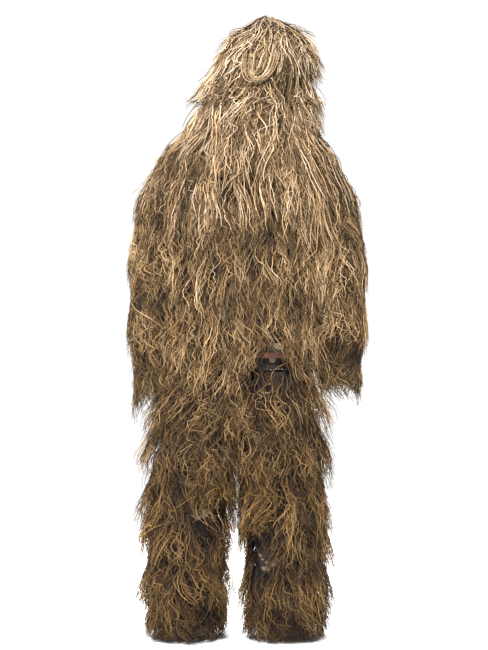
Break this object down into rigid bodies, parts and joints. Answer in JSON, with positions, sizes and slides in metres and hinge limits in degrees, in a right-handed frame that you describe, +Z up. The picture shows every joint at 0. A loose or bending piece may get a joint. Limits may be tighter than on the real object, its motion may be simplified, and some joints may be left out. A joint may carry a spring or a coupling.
{
  "type": "ghillie suit",
  "caption": "Shaggy yarn camouflage suit for stalking: pointed hood with a short cape, zipped long-sleeved jacket and trousers, as worn.",
  "frame": {"origin": "on the floor between the wearer's heels", "axes": "+Z up; the wearer faces -Y; +X is the wearer's left"},
  "size_m": [0.714, 0.336, 1.823],
  "materials": {
    "base_cloth": "matte",
    "hood_yarn": "matte",
    "jacket_yarn": "matte",
    "trouser_yarn": "matte",
    "hem_binding": "matte",
    "elastic": "matte",
    "zip_web": "matte",
    "zip_plastic": "satin",
    "zip_metal": "satin"
  },
  "bodies": {
    "trousers": {"trousers_waistband": "base_cloth", "trousers_waist_elastic": "elastic", "trousers_seat": "base_cloth", "seat_fringe": "trouser_yarn"},
    "jacket": {"jacket_back": "base_cloth", "jacket_front_left": "base_cloth", "jacket_front_right": "base_cloth", "jacket_collar": "base_cloth", "jacket_hem_tape": "hem_binding", "hanger_loop": "zip_web", "left_armhole_band": "base_cloth", "right_armhole_band": "base_cloth", "zip_tape_left": "zip_web", "zip_tape_right": "zip_web", "zip_teeth_left": "zip_plastic", "zip_teeth_right": "zip_plastic", "zip_top_stops": "zip_plastic", "zip_bottom_box": "zip_plastic", "jacket_back_fringe": "jacket_yarn", "jacket_front_left_fringe": "jacket_yarn", "jacket_front_right_fringe": "jacket_yarn"},
    "hood": {"hood_crown": "base_cloth", "hood_cape": "base_cloth", "hood_face_casing": "base_cloth", "hood_face_elastic": "elastic", "hood_crown_fringe": "hood_yarn", "hood_cape_fringe": "hood_yarn"},
    "zip_slider": {"zip_slider": "zip_metal"},
    "zip_puller": {"zip_puller": "zip_metal"},
    "left_sleeve": {"left_sleeve_cloth": "base_cloth", "left_sleeve_fringe": "jacket_yarn"},
    "left_forearm": {"left_forearm_cloth": "base_cloth", "left_forearm_fringe": "jacket_yarn", "left_cuff": "elastic"},
    "left_thigh": {"left_thigh_cloth": "base_cloth", "left_thigh_fringe": "trouser_yarn"},
    "left_shin": {"left_shin_cloth": "base_cloth", "left_shin_fringe": "trouser_yarn", "left_leg_hem": "elastic"},
    "right_sleeve": {"right_sleeve_cloth": "base_cloth", "right_sleeve_fringe": "jacket_yarn"},
    "right_forearm": {"right_forearm_cloth": "base_cloth", "right_forearm_fringe": "jacket_yarn", "right_cuff": "elastic"},
    "right_thigh": {"right_thigh_cloth": "base_cloth", "right_thigh_fringe": "trouser_yarn"},
    "right_shin": {"right_shin_cloth": "base_cloth", "right_shin_fringe": "trouser_yarn", "right_leg_hem": "elastic"}
  },
  "joints": [
    {"name": "jacket_lift", "type": "slide", "parent": "trousers", "child": "jacket", "axis": [0, 0, 1], "range_m": [0, 0.3]},
    {"name": "hood_lift", "type": "slide", "parent": "jacket", "child": "hood", "axis": [0, 0, 1], "range_m": [0, 0.35]},
    {"name": "zip_travel", "type": "slide", "parent": "jacket", "child": "zip_slider", "axis": [0, 0, -1], "range_m": [0, 0.46]},
    {"name": "zip_puller_swing", "type": "hinge", "parent": "zip_slider", "child": "zip_puller", "pos_m": [-0.025, -0.1326, 1.33], "axis": [-1, 0, 0], "range_deg": [0, 100]},
    {"name": "left_shoulder", "type": "hinge", "parent": "jacket", "child": "left_sleeve", "pos_m": [0.211, 0, 1.37], "axis": [-1, 0, 0], "range_deg": [-30, 120]},
    {"name": "left_elbow", "type": "hinge", "parent": "left_sleeve", "child": "left_forearm", "pos_m": [0.246, -0.084, 1.09], "axis": [-1, 0, 0], "range_deg": [0, 110]},
    {"name": "left_hip", "type": "hinge", "parent": "trousers", "child": "left_thigh", "pos_m": [0.082, -0.11, 0.79], "axis": [-1, 0, 0], "range_deg": [0, 90]},
    {"name": "left_knee", "type": "hinge", "parent": "left_thigh", "child": "left_shin", "pos_m": [0.137, 0.138, 0.45], "axis": [1, 0, 0], "range_deg": [0, 100]},
    {"name": "right_shoulder", "type": "hinge", "parent": "jacket", "child": "right_sleeve", "pos_m": [-0.281, 0, 1.37], "axis": [-1, 0, 0], "range_deg": [-30, 120]},
    {"name": "right_elbow", "type": "hinge", "parent": "right_sleeve", "child": "right_forearm", "pos_m": [-0.316, -0.084, 1.09], "axis": [-1, 0, 0], "range_deg": [0, 110]},
    {"name": "right_hip", "type": "hinge", "parent": "trousers", "child": "right_thigh", "pos_m": [-0.102, -0.11, 0.79], "axis": [-1, 0, 0], "range_deg": [0, 90]},
    {"name": "right_knee", "type": "hinge", "parent": "right_thigh", "child": "right_shin", "pos_m": [-0.139, 0.138, 0.45], "axis": [1, 0, 0], "range_deg": [0, 100]}
  ]
}
